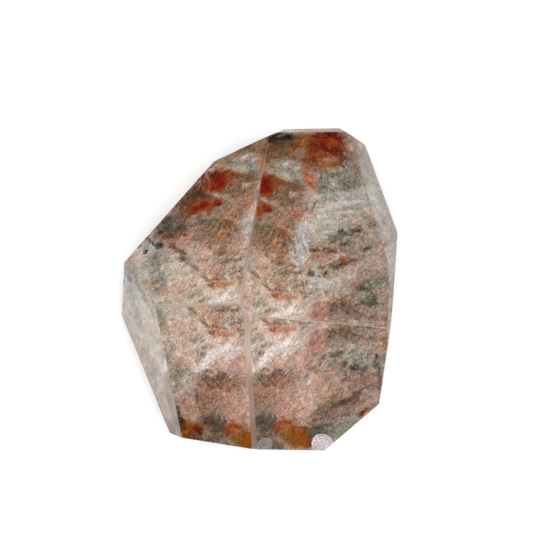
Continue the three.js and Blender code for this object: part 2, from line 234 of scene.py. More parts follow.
# Each patch: colour, centre x, y, half-length, half-width, turn, then strength, ragged edge and grain
# (how far specks break it up) in hundredths. Seen from above; later ones lie over.
PATCHES = [
    # broad grounds, left
    ("mist", -12.4, 0.6, 4.4, 3.6, -30, 95, 30, 10), ("sage", -9.7, 0.6, 1.7, 2.6, 10, 85, 50, 30),
    ("teal", -10.2, 0.2, 0.9, 2.4, 8, 35, 80, 60), ("sage", -9.9, -3.2, 1.4, 2.8, 10, 75, 50, 30),
    ("mist", -8.4, -5.2, 2.4, 1.3, 0, 60, 40, 20), ("cream", -5.4, -2.4, 4.4, 3, -8, 95, 30, 5),
    ("tan", -4.6, -1.8, 3.8, 2.6, -8, 22, 90, 90), ("pink", -4.2, -3.4, 3.6, 1.8, 20, 50, 90, 70),
    ("mist", -5.7, -0.3, 3.2, 0.45, -40, 75, 70, 35), ("mist", -4, -4.6, 2.2, 0.4, 18, 60, 80, 40),
    # the brown stroke at -5.6, 0.5 is painted shadow along a ledge of the bed
    ("brown", -5.6, 0.5, 3.2, 0.22, -40, 60, 70, 35), ("pink", -6.6, -3.6, 1.7, 1, 0, 45, 40, 20),
    ("beige", -1.5, -1.4, 2.8, 1.6, 0, 85, 40, 10), ("rose", -1.7, -2.8, 1.9, 0.9, -8, 60, 50, 20),
    ("clay", -1.6, 5.2, 4.8, 3.8, -10, 95, 40, 30), ("rose", -2.6, 2, 3.4, 1.4, -20, 50, 80, 60),
    ("beige", -4.4, 1.5, 3.8, 1.4, -25, 85, 40, 20), ("beige", -3, 0.6, 3, 1, -8, 70, 40, 20),
    ("rose", -6.6, 3.8, 2.1, 1.7, 20, 75, 50, 40), ("clay", -0.6, 9.4, 4, 3.6, 0, 90, 40, 30),
    ("tan", -8, 6, 3.2, 2.2, 40, 90, 40, 30), ("brown", -5.3, 10, 3.2, 2, 46, 95, 40, 30),
    ("mauve", -6.9, 10.1, 2.8, 0.55, 47, 85, 50, 20), ("mauve", -4, 13.2, 1.8, 0.5, 28, 85, 50, 20),
    ("tan", -3.4, 6, 2.2, 1.2, 10, 70, 50, 40), ("clay", 1.4, 8.4, 2.4, 2, 20, 85, 50, 40),
    ("brown", -3.6, 9.6, 3.6, 3.4, 30, 70, 80, 80), ("rust", -3.4, 9.6, 3.8, 3.6, 40, 60, 90, 100),
    ("brown", -0.6, 6.4, 4, 2.6, -10, 35, 90, 95), ("beige", 0.6, 7.6, 2, 1.4, 30, 60, 90, 80),
    ("maroon", -0.4, 6.6, 3.2, 3.8, 0, 55, 90, 115), ("taupe", -1.6, 8.6, 2.6, 2, -20, 60, 80, 60),
    ("sage", -4.2, 6, 2.4, 1, 10, 60, 80, 60), ("rust", 0.6, 11.2, 2.2, 1.6, -10, 55, 90, 105),
    ("green", -3, 4.6, 3, 1.8, -20, 50, 90, 90),
    # broad grounds, top
    ("olive", 0.6, 16.6, 3.6, 2, 10, 95, 40, 30), ("tan", 3.2, 15.3, 2.4, 1.1, 15, 80, 50, 30),
    ("tan", -1.6, 14.6, 1.6, 0.9, 20, 85, 50, 30), ("sage", 1.1, 13.4, 2.7, 1.5, 5, 95, 40, 20),
    ("tan", 6.4, 14.3, 3.2, 1.2, 5, 85, 60, 50), ("taupe", 10, 14.6, 1.6, 2.4, 10, 80, 50, 30),
    ("sage", 7.8, 12.5, 3.4, 1.7, 8, 95, 50, 30), ("beige", 4.2, 12, 1.8, 2.4, 8, 85, 50, 30),
    ("cream", 4.4, 10.4, 1.5, 1.1, 20, 70, 50, 30), ("mist", 7.6, 8.9, 4.6, 2.2, 14, 95, 30, 10),
    ("mist", 11.4, 9.6, 2.6, 2.4, 10, 80, 40, 20), ("rust", 6.8, 15.2, 3.8, 1.8, 4, 60, 90, 95),
    ("orange", 5.2, 13.6, 2.4, 2.2, 0, 50, 90, 100), ("moss", 8.2, 12.4, 3.2, 1.8, 10, 45, 90, 100),
    ("ember", 0.4, 16.2, 3.2, 1.6, 10, 60, 90, 100),
    # broad grounds, right
    ("mist", 5, 6, 3.2, 2, 12, 100, 40, 5), ("beige", 11.6, 4.8, 3.6, 3.2, 10, 90, 40, 20),
    ("pink", 12, 2.4, 2.6, 1.4, 10, 60, 50, 30), ("beige", 5, 2.2, 3.6, 1.7, 20, 90, 50, 30),
    ("mist", 5.8, -1.1, 3.8, 0.9, -4, 95, 40, 20), ("mist", 8.4, 0.2, 2.2, 0.7, 25, 70, 50, 30),
    ("cream", 1.6, -4.2, 3, 2, 0, 80, 40, 10), ("beige", 1.4, -1.6, 1.6, 1.2, 0, 70, 50, 20),
    ("rose", 4.4, -4.8, 1.9, 2, 10, 85, 40, 20), ("beige", 10.4, -3.6, 3.6, 2.2, 4, 70, 50, 20),
    ("taupe", 10.4, -4.4, 3.6, 1.7, 4, 60, 60, 40), ("taupe", 11.4, -1.2, 2.8, 2, 20, 60, 60, 40),
    ("moss", 11, -1.6, 3.4, 2.4, 25, 25, 90, 95), ("brown", 8.6, 3.2, 4.6, 2, 24, 40, 90, 100),
    ("moss", 7.6, 4.4, 4.6, 1.3, 26, 55, 90, 95), ("brown", 7.4, 1.5, 3.8, 0.9, 24, 60, 90, 90),
    ("brown", 8.8, -4.2, 3.8, 1.6, 4, 40, 90, 90),
    # broad grounds, lower end
    ("sage", -8.1, -8.8, 1.4, 3.8, 6, 90, 50, 20), ("cream", -6.3, -6.8, 1.9, 1.2, 10, 80, 50, 30),
    ("beige", -5.4, -8.6, 1.8, 1.3, 10, 80, 50, 30), ("mist", -6, -9.9, 1.3, 0.9, 0, 90, 40, 20),
    ("pink", 1, -7.8, 4.2, 2, 0, 85, 40, 15), ("salmon", -1, -12.2, 6.4, 3.3, 0, 95, 30, 5),
    ("rose", -2.4, -12.5, 2.9, 1.7, 0, 80, 50, 20), ("clay", -3.8, -11.6, 2.4, 2, 10, 85, 70, 40),
    ("tan", -3.6, -12, 2.2, 1.5, 0, 40, 90, 70), ("green", -6.6, -9.4, 1.5, 1, -20, 70, 70, 50),
    ("mist", -6, -9.6, 1.1, 0.7, -20, 90, 50, 20), ("clay", -1.6, -9.9, 3.6, 1.5, 2, 75, 50, 30),
    ("salmon", 5.6, -10.8, 4.6, 3.2, 15, 90, 40, 20), ("pink", 3.6, -12.8, 2.4, 1.6, 15, 70, 50, 20),
    ("rose", 4, -7, 1.5, 1.4, 0, 70, 50, 20), ("sage", 8.4, -7.2, 3.8, 1.3, -3, 90, 50, 40),
    ("sage", 11.8, -7.6, 1.9, 1.9, 0, 75, 50, 30), ("clay", 10.4, -10.4, 2.6, 1.2, 20, 80, 50, 40),
    ("beige", 11.6, -12.9, 1.8, 1.1, 30, 90, 50, 20), ("clay", 7.4, -14.5, 4, 1, 22, 85, 50, 20),
    ("sage", 7.2, -16.5, 3.6, 1.4, 26, 95, 40, 20), ("salmon", -6.1, -12.5, 1.3, 1.9, 0, 90, 40, 20),
    ("brown", -1.8, -9.4, 3.6, 1.6, 4, 50, 90, 95), ("moss", 8, -8, 4.8, 2.2, 0, 60, 90, 100),
    ("brown", 8, -12.9, 4.4, 1.6, 22, 55, 90, 95), ("moss", 5.6, -16.2, 3.4, 1.2, 16, 60, 90, 95),
    # top end: black cluster, olive-brown ground, and the rust masses
    ("umber", 0.2, 17.5, 2.4, 0.5, 8, 80, 70, 40), ("ember", -0.8, 16.3, 1.3, 0.5, 8, 70, 80, 60),
    ("ember", 1.2, 16.4, 1.2, 0.5, -10, 55, 80, 60), ("rust", 2.6, 16.7, 0.7, 0.5, 20, 85, 70, 40),
    ("rust", -1.6, 16.9, 0.5, 0.3, 40, 70, 80, 40), ("maroon", 0.7, 17.1, 0.35, 0.4, 0, 80, 60, 20),
    ("black", 1, 17.85, 1.3, 0.32, 5, 100, 60, 20), ("black", -0.9, 17.5, 0.7, 0.36, 14, 85, 70, 30),
    ("maroon", -1.6, 17.4, 0.6, 0.4, 0, 90, 60, 30), ("mist", 0.8, 18.45, 2.6, 0.18, 4, 80, 40, 10),
    ("ember", 4.2, 17.6, 1.5, 1.1, 0, 95, 50, 30), ("rust", 7.2, 17.2, 3, 2.3, 3, 95, 60, 45),
    ("salmon", 7.4, 15.6, 1.9, 0.7, 8, 60, 90, 80), ("tan", 5.2, 17.8, 1.4, 0.6, 10, 50, 90, 80),
    ("ember", 6, 17.4, 0.6, 0.9, 10, 55, 80, 60), ("rust", 5.2, 16.2, 1.4, 1.4, 0, 90, 60, 40),
    ("rust", 6.9, 15.2, 2.4, 1, 6, 75, 80, 60), ("maroon", 9.2, 16.2, 0.8, 1.6, 8, 55, 70, 40),
    ("red", 8, 18.2, 1.4, 0.9, -8, 90, 80, 50), ("red", 5.6, 18.2, 0.9, 0.45, 5, 70, 70, 30),
    ("red", 7, 16.6, 0.9, 0.8, -50, 80, 90, 60), ("red", 5.1, 17, 0.5, 0.6, 0, 55, 70, 40),
    ("red", 8.4, 16.4, 0.7, 0.5, 20, 60, 80, 40), ("orange", 6.2, 16, 0.8, 0.4, 40, 70, 90, 60),
    ("coral", 7, 14.9, 1.1, 0.5, 10, 70, 90, 60), ("ember", 8.6, 17.4, 0.9, 0.4, -30, 70, 90, 60),
    ("maroon", 6.2, 17.2, 0.5, 0.6, 0, 50, 90, 70), ("pink", 8, 15.4, 0.9, 0.4, -10, 60, 90, 70),
    ("maroon", 8.2, 18.5, 0.9, 0.35, 0, 55, 60, 30), ("mauve", 9.7, 18.4, 0.45, 0.7, 0, 80, 60, 30),
    ("rust", 4.5, 14.7, 1.4, 0.5, 8, 55, 90, 70), ("coral", 4.3, 12.8, 1, 1.2, 0, 85, 60, 40),
    ("orange", 4.1, 12.8, 0.9, 1.2, 0, 75, 90, 60), ("ember", 4.4, 11.6, 0.9, 0.5, 20, 50, 90, 80),
    ("orange", 6, 13.9, 0.9, 0.25, 40, 50, 80, 60), ("coral", 5, 11.4, 0.8, 0.5, 20, 55, 70, 50),
    ("green", 5.2, 13.6, 0.6, 0.3, -30, 60, 80, 50), ("green", 7.3, 13.2, 1.2, 0.35, 10, 80, 80, 40),
    ("green", 6.3, 11.8, 1, 0.6, 20, 80, 80, 40), ("moss", 6.2, 11.7, 0.5, 0.3, -20, 50, 80, 50),
    ("green", 9.6, 12.5, 1.5, 0.8, -5, 75, 80, 40), ("moss", 8.6, 11.4, 1.1, 0.25, 8, 50, 90, 50),
    ("white", 5.8, 13.3, 0.3, 0.28, 0, 70, 50, 20), ("lilac", 7.7, 12.3, 0.7, 0.45, 10, 60, 60, 30),
    ("white", 9.7, 14.7, 0.5, 0.09, -45, 80, 50, 10), ("white", 0.9, 14.2, 0.6, 0.3, 40, 70, 80, 40),
    ("white", 2.4, 13.7, 0.5, 0.25, 10, 60, 80, 40), ("green", 2.2, 12.8, 1.1, 0.35, 30, 50, 80, 50),
    ("green", 0, 13.4, 0.9, 0.5, 0, 40, 80, 50), ("yellow", -2.2, 14, 0.7, 0.7, 40, 75, 70, 40),
    ("olive", 1.8, 11.2, 1.4, 0.7, 5, 75, 70, 40), ("brown", 0, 11.4, 1.6, 0.9, -14, 85, 80, 60),
    ("olive", 0.8, 10.9, 0.9, 0.5, 20, 60, 90, 60), ("olive", -0.4, 9.8, 1.9, 0.9, -10, 60, 70, 50),
    ("rust", 0.2, 12, 1.6, 0.35, -12, 60, 90, 50), ("coral", 0.6, 9.2, 1, 0.6, 30, 55, 80, 60),
    ("coral", 2.3, 9.6, 0.7, 1.2, 5, 60, 80, 60), ("orange", 2, 8, 0.6, 0.8, 0, 50, 90, 70),
    ("lilac", 1.4, 10.2, 0.7, 0.3, 30, 60, 80, 40), ("white", 7.6, 9.3, 2.4, 0.3, 13, 90, 70, 30),
    ("white", 6.4, 8.7, 1.6, 0.2, 18, 70, 70, 30), ("white", 9.8, 9.8, 1.7, 0.22, 12, 80, 80, 30),
    ("white", 8.4, 8.2, 1.6, 0.2, 14, 80, 80, 30), ("white", 5.2, 7.7, 0.9, 0.18, 20, 50, 80, 40),
    ("sage", 7.4, 10.1, 2.2, 0.22, 12, 60, 80, 40), ("sage", 9.4, 8.8, 1.8, 0.2, 12, 60, 80, 40),
    ("brown", 4.3, 8.9, 0.95, 0.1, 66, 70, 40, 20), ("maroon", 1.9, 8.9, 0.3, 0.12, 10, 80, 60, 20),
    ("maroon", 2.6, 10.2, 0.35, 0.1, 20, 70, 60, 20),
    # upper left: two red masses on a dark brown ground
    ("umber", -5.2, 10.2, 1.3, 0.9, 40, 70, 70, 50), ("umber", -4, 9.4, 1.2, 0.35, -38, 80, 60, 30),
    ("rust", -3, 11.2, 1.8, 1.4, 20, 95, 70, 50), ("maroon", -4.5, 12.3, 0.8, 0.5, 30, 60, 70, 40),
    ("red", -2.2, 11.5, 1, 1.5, 8, 100, 70, 35), ("tan", -3.2, 11, 0.5, 0.3, 40, 60, 90, 70),
    ("maroon", -1.5, 11.9, 0.5, 0.9, 0, 50, 90, 70), ("red", -2.7, 10.5, 0.7, 0.5, 20, 85, 70, 35),
    ("maroon", -2.6, 12.2, 0.5, 0.5, 0, 55, 60, 30), ("rust", -1, 11.7, 1, 1.2, -10, 80, 70, 50),
    ("red", -1.7, 10.9, 0.6, 0.4, -20, 60, 70, 30), ("rust", -2.2, 10.1, 0.9, 0.3, 0, 70, 80, 40),
    ("rust", -4.6, 8.1, 1.8, 1, 6, 100, 70, 45), ("red", -3.9, 8.2, 0.9, 0.5, 15, 95, 70, 35),
    ("red", -5, 7.8, 0.5, 0.3, 0, 70, 70, 40), ("ember", -4.9, 8.6, 0.5, 0.3, 0, 60, 90, 60),
    ("rust", -5.9, 7, 0.6, 0.9, -15, 70, 80, 60), ("ember", -3.4, 7.6, 1, 0.35, 20, 80, 70, 40),
    ("rust", -2.4, 8.1, 1, 0.6, 20, 95, 60, 30), ("red", -2.1, 8.1, 0.6, 0.45, 20, 95, 60, 20),
    ("beige", -2.9, 9.5, 1, 0.22, -35, 80, 60, 30), ("beige", -1.2, 8.9, 0.8, 0.3, -30, 60, 70, 40),
    ("rust", -4.5, 6.6, 0.4, 0.3, 0, 60, 80, 40), ("white", -3.4, 13.1, 0.9, 0.09, 25, 70, 60, 30),
    ("white", -4.6, 12.2, 0.9, 0.07, 75, 80, 90, 30), ("white", -4.2, 12.9, 0.7, 0.06, 10, 80, 90, 30),
    ("lilac", -3.7, 12, 0.8, 0.06, 120, 70, 90, 30), ("white", -5, 11.4, 0.6, 0.06, 50, 70, 90, 30),
    ("rust", -3, 7, 0.5, 0.25, 40, 60, 80, 40), ("maroon", 0.3, 6.2, 0.3, 0.25, 0, 60, 70, 30),
    ("coral", -0.6, 6.4, 1.2, 0.5, -30, 60, 80, 60),
    # left: dark olive shade and blue-black grains
    ("moss", -9.8, 5.2, 1.2, 0.7, 30, 90, 70, 40), ("moss", -8.9, 6.6, 1.1, 0.6, 45, 80, 80, 40),
    ("moss", -7.9, 5.2, 1.2, 0.6, 10, 80, 80, 50), ("umber", -10, 4.9, 0.5, 0.4, 0, 80, 70, 30),
    ("umber", -7.4, 5.6, 0.4, 0.4, 30, 75, 70, 30), ("umber", -8.8, 6.9, 0.4, 0.3, 30, 70, 70, 30),
    ("brown", -6.6, 5, 0.7, 0.6, 0, 70, 80, 50), ("umber", -6.2, 4.1, 0.4, 0.25, 0, 70, 70, 40),
    ("brown", -8.7, 4.3, 0.8, 0.3, 0, 70, 80, 40), ("mauve", -8.2, 7.6, 0.9, 0.5, 45, 60, 70, 40),
    ("orange", -10.5, 4.4, 0.5, 0.16, 10, 75, 70, 40), ("lilac", -11.8, 3, 1.5, 0.8, 35, 60, 50, 20),
    ("teal", -9.8, 3.15, 0.6, 0.42, -10, 100, 40, 5), ("teal", -10.8, 3.4, 0.4, 0.24, -30, 95, 50, 10),
    ("teal", -11.4, 3.9, 0.4, 0.2, -50, 95, 50, 10), ("teal", -12, 2.6, 0.45, 0.26, 60, 85, 60, 30),
    ("teal", -12.9, 3.3, 0.5, 0.24, 30, 90, 60, 20), ("teal", -12.1, 4.3, 0.34, 0.18, 20, 85, 60, 20),
    # the brown stroke at -7.2, 2.3 and the umber stroke at -6.9, 2 are painted shadow along the same ledge
    ("teal", -8.1, 2.9, 0.3, 0.2, -30, 60, 60, 30), ("brown", -7.2, 2.3, 1.9, 0.3, -34, 75, 70, 30),
    ("umber", -6.9, 2, 0.8, 0.16, -34, 50, 70, 30), ("olive", -6.6, 1, 0.9, 0.35, -20, 60, 80, 50),
    ("green", -10.6, 1.4, 0.3, 1.1, 30, 50, 80, 50), ("green", -8.6, 1.2, 0.4, 1, -20, 50, 80, 50),
    ("green", -9.6, -3, 0.4, 1.5, 10, 60, 80, 50), ("orange", -10.3, -1.9, 0.35, 0.3, 20, 80, 60, 30),
    ("coral", -9.8, -2.6, 0.4, 0.5, 20, 70, 70, 40), ("white", -9.7, -4, 0.6, 0.6, 20, 70, 80, 50),
    ("olive", -10.4, -4.6, 0.5, 0.4, 0, 50, 80, 40),
    # middle: orange-brown speckled ground with yellow, dark red and olive, and the white feather
    ("olive", -2.6, 5.5, 1.7, 0.6, -5, 70, 70, 40), ("green", -3.4, 5.9, 0.9, 0.4, 20, 50, 80, 50),
    ("ember", -0.4, 5, 1.4, 0.6, -35, 60, 80, 60), ("orange", -1.6, 3.7, 1.4, 0.5, -30, 55, 80, 60),
    ("yellow", -1.4, 4.1, 0.7, 0.3, -20, 60, 80, 50), ("tan", -3, 3.2, 1.4, 0.6, -35, 60, 80, 50),
    ("brown", -1.5, 1.5, 1.2, 0.4, -10, 60, 80, 50), ("tan", -1.2, 2.2, 1.4, 0.6, -20, 60, 70, 50),
    ("maroon", -0.2, 3.6, 0.35, 0.25, 0, 80, 60, 30), ("maroon", 0.6, 4.4, 0.3, 0.5, 0, 55, 70, 40),
    ("maroon", -2.6, 1.9, 0.25, 0.18, 0, 60, 60, 30), ("beige", 1.2, 3.4, 1.2, 2.4, 4, 60, 90, 60),
    ("lilac", 2.2, 4.2, 0.9, 2.2, 4, 85, 90, 60), ("maroon", 0.2, 2, 1.6, 1.2, 0, 35, 90, 110),
    ("rust", 1.6, 1.1, 1.4, 0.5, 5, 60, 90, 80), ("coral", 2.4, 1.4, 0.6, 0.4, 20, 70, 70, 50),
    # green and brown bands that rise to the right
    ("green", 5.4, 4.6, 2.2, 0.5, 22, 65, 80, 50), ("moss", 3.7, 3.15, 0.9, 0.34, 5, 95, 60, 25),
    ("black", 3.8, 2.95, 0.35, 0.1, 0, 60, 60, 20), ("moss", 5.3, 3.3, 0.8, 0.18, 20, 80, 70, 30),
    ("brown", 6.1, 3.1, 0.85, 0.34, 22, 95, 60, 25), ("moss", 6.3, 4.3, 0.7, 0.25, 25, 85, 70, 35),
    ("moss", 7.1, 4.9, 1.2, 0.45, 34, 90, 70, 35), ("moss", 7.8, 5.5, 0.5, 0.35, 20, 75, 70, 35),
    ("moss", 8.2, 4.3, 1, 0.22, 20, 75, 80, 40), ("moss", 9.2, 5.7, 1.1, 0.35, 30, 90, 70, 35),
    ("black", 10.4, 6.1, 0.34, 0.26, 0, 85, 60, 20), ("green", 11, 6.6, 1, 0.4, 30, 50, 80, 40),
    ("coral", 4, 2.2, 1.3, 0.35, 15, 75, 70, 40), ("coral", 5.8, 2.4, 1.2, 0.25, 18, 60, 80, 50),
    ("brown", 4.6, 1, 0.6, 0.2, 15, 70, 70, 40), ("moss", 6.4, 1.3, 0.9, 0.3, 28, 90, 70, 35),
    ("brown", 7.6, 1.5, 1.1, 0.35, 30, 100, 60, 20), ("black", 7.7, 1.6, 0.5, 0.16, 30, 50, 70, 40),
    ("brown", 9.2, 2.2, 0.9, 0.24, 22, 85, 70, 30), ("orange", 7.8, 2.35, 0.6, 0.28, 4, 95, 60, 20),
    ("orange", 9.9, 2.6, 0.4, 0.16, 30, 60, 70, 30), ("maroon", 5, 0.5, 0.25, 0.15, 30, 70, 70, 30),
    ("maroon", 4.2, -0.2, 0.25, 0.15, 0, 70, 70, 30), ("brown", 3.1, 0.25, 0.55, 0.5, 10, 100, 30, 5),
    ("maroon", 1.6, -1.4, 1, 1.7, 20, 55, 90, 110), ("teal", 2, -2.2, 1, 0.9, 0, 45, 90, 110),
    ("mauve", 3.4, -1.2, 0.9, 0.3, 10, 50, 80, 50), ("moss", 4, -1.8, 0.7, 0.13, 10, 50, 80, 50),
    ("moss", 11.7, 4, 0.8, 0.32, 24, 85, 60, 30), ("brown", 11.4, 3.8, 0.4, 0.2, 20, 60, 70, 30),
    ("sage", 12.9, 3.2, 0.7, 0.9, 0, 60, 70, 40), ("moss", 12.4, 7, 0.7, 0.4, 20, 50, 80, 40),
    ("moss", 11.2, -1, 1.5, 0.45, 35, 75, 80, 50), ("green", 12.6, -0.6, 1.4, 0.8, 30, 75, 80, 40),
    ("umber", 10.8, -1.3, 0.5, 0.25, 40, 70, 70, 40), ("moss", 12, -2.5, 0.6, 0.7, 10, 85, 70, 40),
    ("coral", 9.3, -1, 0.5, 0.4, 30, 70, 80, 40), ("coral", 12.6, -1.7, 0.5, 0.3, 20, 50, 80, 50),
    ("olive", 9.2, -2.3, 2.2, 0.6, 22, 40, 90, 60), ("moss", 8.4, -2.5, 0.9, 0.3, 24, 50, 80, 50),
    ("moss", 11.2, -3.2, 1, 0.4, 0, 70, 80, 40), ("brown", 7.3, -3.9, 2, 1.2, 6, 60, 80, 60),
    ("umber", 6.6, -3.9, 1.1, 0.8, 10, 35, 80, 60), ("umber", 7.9, -3.2, 0.7, 0.4, 0, 40, 80, 60),
    ("brown", 9.8, -4.2, 1.4, 0.6, 0, 35, 90, 70), ("green", 6.8, -5.6, 1, 0.5, 10, 60, 80, 40),
    ("coral", 13.6, -5.8, 0.35, 1.5, 0, 80, 60, 30),
    # the notch with its red bar, and the paired white streaks
    # the brown stroke at -3.1, -2 carries that painted ledge shadow on to the red bar
    ("green", -4.4, -4.2, 1.3, 0.5, 20, 40, 70, 40), ("brown", -3.1, -2, 1.4, 0.16, -38, 50, 80, 50),
    ("umber", -2.15, -2.95, 0.16, 0.4, 14, 70, 50, 20), ("tan", -1.2, -0.6, 2.8, 1.6, 0, 50, 90, 75),
    ("olive", 0.2, 0.1, 1.8, 0.2, 4, 70, 70, 40), ("brown", -1, -2.35, 1.4, 0.16, -6, 55, 80, 50),
    ("coral", -0.9, -3.1, 1.7, 0.36, 2, 100, 50, 25), ("umber", -2.4, -3.1, 0.3, 0.2, 0, 50, 70, 40),
    ("orange", -0.9, -3.1, 1.1, 0.14, 2, 45, 80, 60), ("lilac", -1.6, -6.1, 3.6, 0.95, 35, 90, 70, 35),
    ("white", -3.1, -6.7, 2.2, 0.5, 38, 100, 70, 10), ("white", -0.6, -4.95, 1.9, 0.34, 38, 95, 70, 15),
    ("lilac", 0.5, -5.9, 1.9, 0.5, 34, 70, 80, 40), ("olive", -3.6, -5.4, 0.9, 0.5, 30, 50, 90, 80),
    ("green", -3.9, -6, 0.7, 0.4, 20, 60, 80, 60), ("olive", -3.2, -4.9, 0.8, 0.4, 0, 45, 90, 80),
    ("white", 0.3, -6.2, 1.2, 0.25, 34, 60, 80, 40), ("olive", -1.7, -6.9, 1.8, 0.18, 36, 50, 90, 60),
    # lower middle
    ("coral", -7.2, -7.4, 0.9, 0.3, 60, 60, 70, 40), ("green", -8, -9.8, 0.4, 1.6, 5, 60, 70, 40),
    ("brown", -5.3, -9, 0.1, 0.7, 0, 60, 50, 20), ("brown", -2.4, -9.4, 2.2, 0.8, 8, 60, 90, 70),
    ("umber", -2.4, -9.7, 1, 0.5, 30, 60, 90, 70), ("moss", -1.8, -8.8, 1.2, 0.5, 30, 60, 90, 70),
    ("brown", -3.4, -8.4, 0.7, 0.3, 40, 50, 80, 40), ("moss", -5, -11.6, 0.25, 1.2, 0, 70, 70, 30),
    ("brown", -5.9, -11.4, 0.7, 0.2, 0, 40, 80, 50), ("sage", 3.1, -9.8, 0.9, 0.7, 20, 85, 70, 40),
    ("moss", 2.9, -9.3, 0.45, 0.2, 20, 70, 70, 40), ("white", 3.4, -10.2, 0.35, 0.25, 0, 80, 70, 30),
    ("moss", 5.3, -7.1, 0.5, 0.3, 30, 75, 80, 40), ("moss", 7.2, -6.7, 1.2, 0.45, 5, 75, 80, 40),
    ("moss", 4.4, -8.2, 0.8, 0.22, 30, 60, 90, 50), ("moss", 6.4, -8.2, 0.7, 0.35, 0, 60, 80, 50),
    ("umber", 8.3, -8.2, 0.45, 0.35, 20, 75, 70, 40), ("moss", 9.8, -8.75, 0.75, 0.5, 10, 95, 60, 30),
    ("black", 9.8, -8.8, 0.4, 0.25, 10, 70, 60, 30), ("moss", 11, -9, 0.6, 0.4, 10, 80, 70, 40),
    ("black", 10.6, -7.45, 0.18, 0.15, 0, 80, 50, 20), ("umber", 12.7, -7.2, 0.2, 0.35, 0, 80, 60, 20),
    ("moss", 12.6, -8.2, 0.5, 0.4, 0, 60, 70, 40), ("moss", 8.2, -10.2, 0.7, 0.3, 20, 60, 80, 50),
    ("rose", 6, -9.4, 1.4, 0.5, 40, 60, 70, 50), ("brown", 6.6, -11, 0.7, 0.3, 30, 50, 80, 50),
    ("moss", 12.9, -11.2, 0.35, 0.7, 0, 70, 70, 30), ("brown", 13.1, -10.6, 0.3, 2.4, 0, 55, 70, 30),
    ("taupe", 7.6, -13.2, 3.6, 0.95, 23, 90, 50, 20), ("olive", 6.6, -12.9, 1.6, 0.5, 30, 60, 70, 40),
    ("brown", 8.2, -13.1, 2.6, 0.42, 24, 85, 60, 20), ("umber", 8.5, -13, 1.1, 0.25, 22, 60, 70, 40),
    ("brown", 10.7, -11.7, 1.5, 0.14, 34, 80, 60, 20), ("rose", 6.4, -14.3, 2.8, 0.22, 21, 80, 60, 30),
    ("brown", 5.4, -14.9, 1.4, 0.16, 18, 60, 70, 30), ("brown", 5, -14, 1.4, 0.7, 25, 50, 70, 30),
    ("moss", 8.6, -14.6, 0.6, 0.3, 20, 55, 70, 40), ("rust", 10.7, -14.6, 1, 0.4, 30, 80, 60, 30),
    ("mist", 9.2, -15.6, 1, 0.4, 30, 70, 70, 30),
    # lower end: grey-green tufts, orange masses, dark corner
    ("sage", -5.6, -14.8, 1, 0.5, 0, 60, 70, 40), ("moss", -8, -13.8, 0.6, 0.9, 0, 85, 60, 30),
    ("taupe", -2.4, -15.8, 2.3, 2, 0, 90, 50, 30), ("moss", -2.4, -15.6, 2.9, 2.4, 0, 70, 90, 90),
    ("rust", 0.6, -16.4, 2.6, 1.8, 0, 60, 90, 100), ("moss", -3, -15, 1.7, 1.1, 0, 90, 60, 40),
    ("teal", -2.6, -15.4, 1.3, 0.7, 20, 40, 90, 80), ("umber", -3.5, -14.9, 0.7, 0.5, 20, 60, 70, 40),
    ("brown", -1.2, -15.4, 0.6, 0.9, 0, 60, 70, 40), ("moss", -2.6, -16.6, 1, 0.6, 20, 50, 80, 40),
    ("ember", -6.4, -15.9, 1.9, 1.2, 0, 95, 50, 25), ("amber", -7, -16.2, 1.2, 0.6, -10, 80, 60, 30),
    ("ember", -5.2, -15.9, 1.3, 0.8, -10, 90, 70, 40), ("rust", -5.6, -16, 0.8, 0.5, -10, 70, 90, 60),
    ("maroon", -7.5, -14.9, 0.6, 0.6, 10, 90, 60, 20), ("maroon", -4.9, -16.3, 0.6, 0.6, 0, 75, 70, 30),
    ("amber", -7.2, -17.4, 1.8, 0.7, 0, 80, 60, 30), ("umber", -5.4, -17.6, 1.2, 0.7, 0, 70, 70, 40),
    ("umber", -7.8, -15.2, 0.8, 1.2, 10, 70, 80, 40), ("umber", -6, -16.8, 1.2, 0.4, 20, 50, 90, 70),
    ("rust", 0.1, -15.7, 1.5, 1.1, 0, 70, 70, 40), ("coral", 0.2, -15.2, 1.4, 0.8, 0, 60, 70, 50),
    ("orange", -0.2, -16.1, 1, 0.5, -10, 65, 70, 45), ("rust", 0.4, -15.1, 1.1, 0.5, 0, 85, 90, 70),
    ("yellow", 0.7, -17.2, 1, 1, 0, 90, 70, 30), ("olive", 0.2, -17.2, 0.6, 0.6, 0, 50, 90, 60),
    ("amber", 2.4, -17.3, 2.1, 1.5, -12, 100, 50, 10), ("rust", 2.2, -16.6, 0.9, 0.3, -20, 60, 80, 40),
    ("rust", 3.2, -18.3, 0.9, 0.5, 0, 60, 70, 35), ("umber", 2.7, -16.2, 0.9, 0.25, -25, 80, 70, 30),
    ("moss", 4.2, -16.7, 1.3, 0.8, 10, 90, 60, 30), ("umber", 4.2, -16.2, 0.5, 0.22, 10, 60, 70, 30),
    ("moss", 5.6, -16, 1.2, 0.3, 22, 75, 80, 35), ("green", 7.4, -16, 1.2, 0.3, 22, 50, 80, 40),
    ("moss", -1.2, -18.2, 1, 0.6, 0, 70, 70, 40),
    # a few last touches over the others
    ("green", -9, -1.9, 0.8, 1.3, 10, 60, 70, 50), ("white", -5.3, -6.9, 1, 0.22, -50, 60, 80, 50),
    ("maroon", -2.6, -12.3, 3, 1, 10, 16, 80, 80), ("maroon", -1.7, 11.2, 0.5, 0.7, 10, 50, 80, 70),
    ("sage", 9, -2.6, 2.2, 0.9, 10, 30, 70, 70), ("mist", 4.5, 5.2, 1.8, 1.4, 10, 40, 60, 50),
    ("amber", 1.9, -17.9, 1.3, 0.7, 10, 80, 60, 30),
]
GROUND_INK = "beige"  # what shows where no patch lies
STRATA_LEAN = 22


def fibre_lean(x):
    """The fibres' direction in radians: steeper at the left of the bed than at the right."""
    return np.radians(48 - 22 * step(-3, 8, x))


